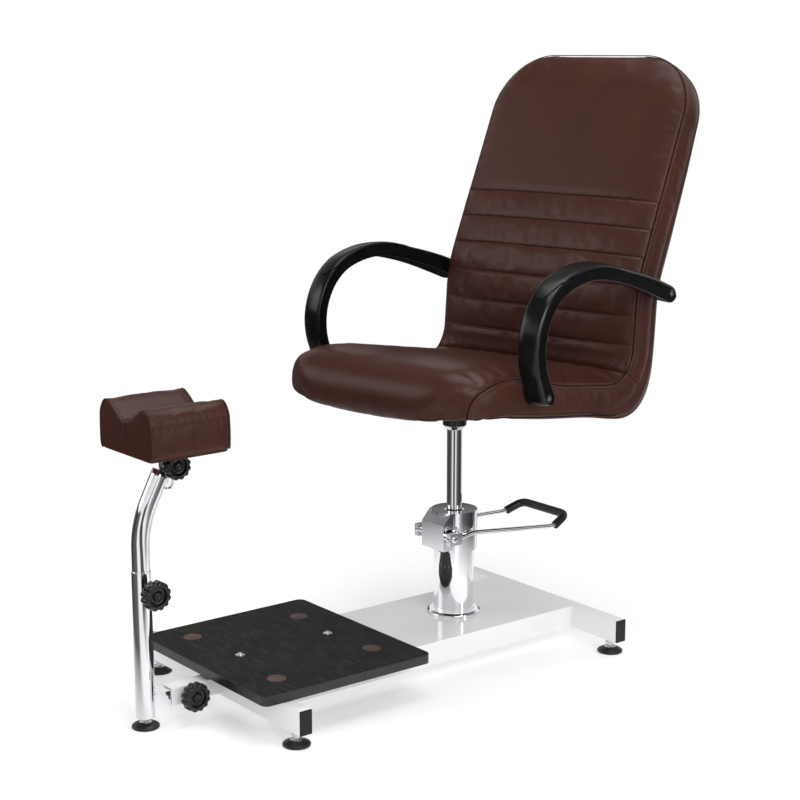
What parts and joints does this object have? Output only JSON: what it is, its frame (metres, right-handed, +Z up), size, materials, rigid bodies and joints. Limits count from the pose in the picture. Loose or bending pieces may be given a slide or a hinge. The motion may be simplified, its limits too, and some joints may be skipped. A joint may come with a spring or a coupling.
{
  "type": "pedicure chair",
  "caption": "Salon pedicure chair: upholstered swivel seat on a foot-pumped column, loop armrests, foot board and an adjustable trough-shaped leg rest on one low frame.",
  "frame": {"origin": "middle of the chair's bounding box in plan, on the floor under the foot pads", "axes": "+Z up, the sitter looks along -Y towards the leg rest, +X is the sitter's left"},
  "size_m": [0.6624, 1.2781, 1.1725],
  "materials": {
    "white_paint": "gloss white powder coat",
    "chrome": "polished",
    "steel": "zinc plated",
    "black_plastic": "satin black",
    "black_rubber": "matt black",
    "grip_rubber": "matt brown",
    "laminate": "black wood-grain laminate",
    "edging": "black edge band",
    "leatherette": "soft sheen dark brown",
    "plywood": "raw",
    "arm_pad": "soft satin black"
  },
  "bodies": {
    "base": {"base_beam": "white_paint", "rear_bar": "white_paint", "front_bar": "white_paint", "bar_end_caps": "black_plastic", "leg_socket": "white_paint", "foot_lock_nuts": "steel", "foot_board": "laminate", "board_edging": "edging", "grip_pads": "grip_rubber", "board_screws": "steel", "column_ring": "chrome", "pump_bolts": "steel", "oil_tank": "chrome", "pump_cylinder": "steel", "pump_head": "chrome", "gland_nut": "chrome", "rod_seal": "black_rubber", "release_valve": "steel"},
    "pedal": {"pivot_shaft": "chrome", "lever_finger": "steel", "pedal_clamps": "chrome", "pedal_rod": "chrome", "pedal_sleeve": "black_rubber"},
    "plunger": {"pump_plunger": "steel", "plunger_spring": "steel"},
    "piston": {"piston_rod": "chrome", "piston_head": "steel", "piston_seal": "black_rubber"},
    "seat": {"swivel_socket": "black_plastic", "seat_plate": "black_plastic", "plate_screws": "steel", "seat_shell": "plywood", "seat_cushion": "leatherette", "back_cushion": "leatherette", "shell_cover": "leatherette", "arm_cleats": "plywood", "left_arm": "black_plastic", "right_arm": "black_plastic", "left_arm_pad": "arm_pad", "right_arm_pad": "arm_pad", "arm_bolts": "steel"},
    "leg_arm": {"slide_arm": "chrome", "post_tube": "chrome"},
    "post_foot": {"post_foot": "black_rubber"},
    "socket_knob": {"socket_knob": "black_plastic"},
    "post_knob": {"post_knob": "black_plastic"},
    "upper_tube": {"upper_tube": "chrome"},
    "cushion_knob": {"cushion_knob": "black_plastic"},
    "leg_cushion": {"cushion_spindle": "steel", "cushion_board": "plywood", "spindle_screws": "steel", "leg_cushion": "leatherette"},
    "rear_left_foot": {"rear_left_foot": "black_rubber"},
    "rear_right_foot": {"rear_right_foot": "black_rubber"},
    "front_left_foot": {"front_left_foot": "black_rubber"},
    "front_right_foot": {"front_right_foot": "black_rubber"}
  },
  "joints": [
    {"name": "rear_left_foot_height", "type": "slide", "parent": "base", "child": "rear_left_foot", "axis": [0, 0, -1], "range_m": [0, 0.012]},
    {"name": "rear_right_foot_height", "type": "slide", "parent": "base", "child": "rear_right_foot", "axis": [0, 0, -1], "range_m": [0, 0.012]},
    {"name": "front_left_foot_height", "type": "slide", "parent": "base", "child": "front_left_foot", "axis": [0, 0, -1], "range_m": [0, 0.012]},
    {"name": "front_right_foot_height", "type": "slide", "parent": "base", "child": "front_right_foot", "axis": [0, 0, -1], "range_m": [0, 0.012]},
    {"name": "pedal_hinge", "type": "hinge", "parent": "base", "child": "pedal", "pos_m": [0.02, 0.056, 0.24], "axis": [-1, 0, 0], "range_deg": [0, 22], "stiffness_Nm_per_rad": 6, "springref_deg": -22.92},
    {"name": "plunger_slide", "type": "slide", "parent": "base", "child": "plunger", "axis": [0, 0, -1], "range_m": [0, 0.0066], "deforming": ["plunger_spring"]},
    {"name": "column_lift", "type": "slide", "parent": "base", "child": "piston", "axis": [0, 0, 1], "range_m": [-0.12, 0.02]},
    {"name": "seat_swivel", "type": "hinge", "parent": "piston", "child": "seat", "pos_m": [0.02, 0.1, 0.48], "axis": [0, 0, 1], "continuous": true},
    {"name": "leg_reach", "type": "slide", "parent": "base", "child": "leg_arm", "axis": [0, -1, 0], "range_m": [-0.02, 0.15]},
    {"name": "post_foot_height", "type": "slide", "parent": "leg_arm", "child": "post_foot", "axis": [0, 0, -1], "range_m": [0, 0.012]},
    {"name": "socket_clamp", "type": "hinge", "parent": "base", "child": "socket_knob", "pos_m": [0.06, -0.532, 0.0495], "axis": [1, 0, 0], "range_deg": [0, 540]},
    {"name": "post_clamp", "type": "hinge", "parent": "leg_arm", "child": "post_knob", "pos_m": [0.06, -0.612, 0.256], "axis": [1, 0, 0], "range_deg": [0, 540]},
    {"name": "leg_height", "type": "slide", "parent": "leg_arm", "child": "upper_tube", "axis": [0, 0, 1], "range_m": [-0.04, 0.11]},
    {"name": "cushion_clamp", "type": "hinge", "parent": "upper_tube", "child": "cushion_knob", "pos_m": [0.05, -0.557, 0.4767], "axis": [1, 0, 0], "range_deg": [0, 540]},
    {"name": "cushion_swivel", "type": "hinge", "parent": "upper_tube", "child": "leg_cushion", "pos_m": [0.02, -0.557, 0.48], "axis": [0, 0, 1], "continuous": true}
  ],
  "couplings": [
    {"joint": "plunger_slide", "follows": "pedal_hinge", "m_per_rad": 0.017}
  ]
}
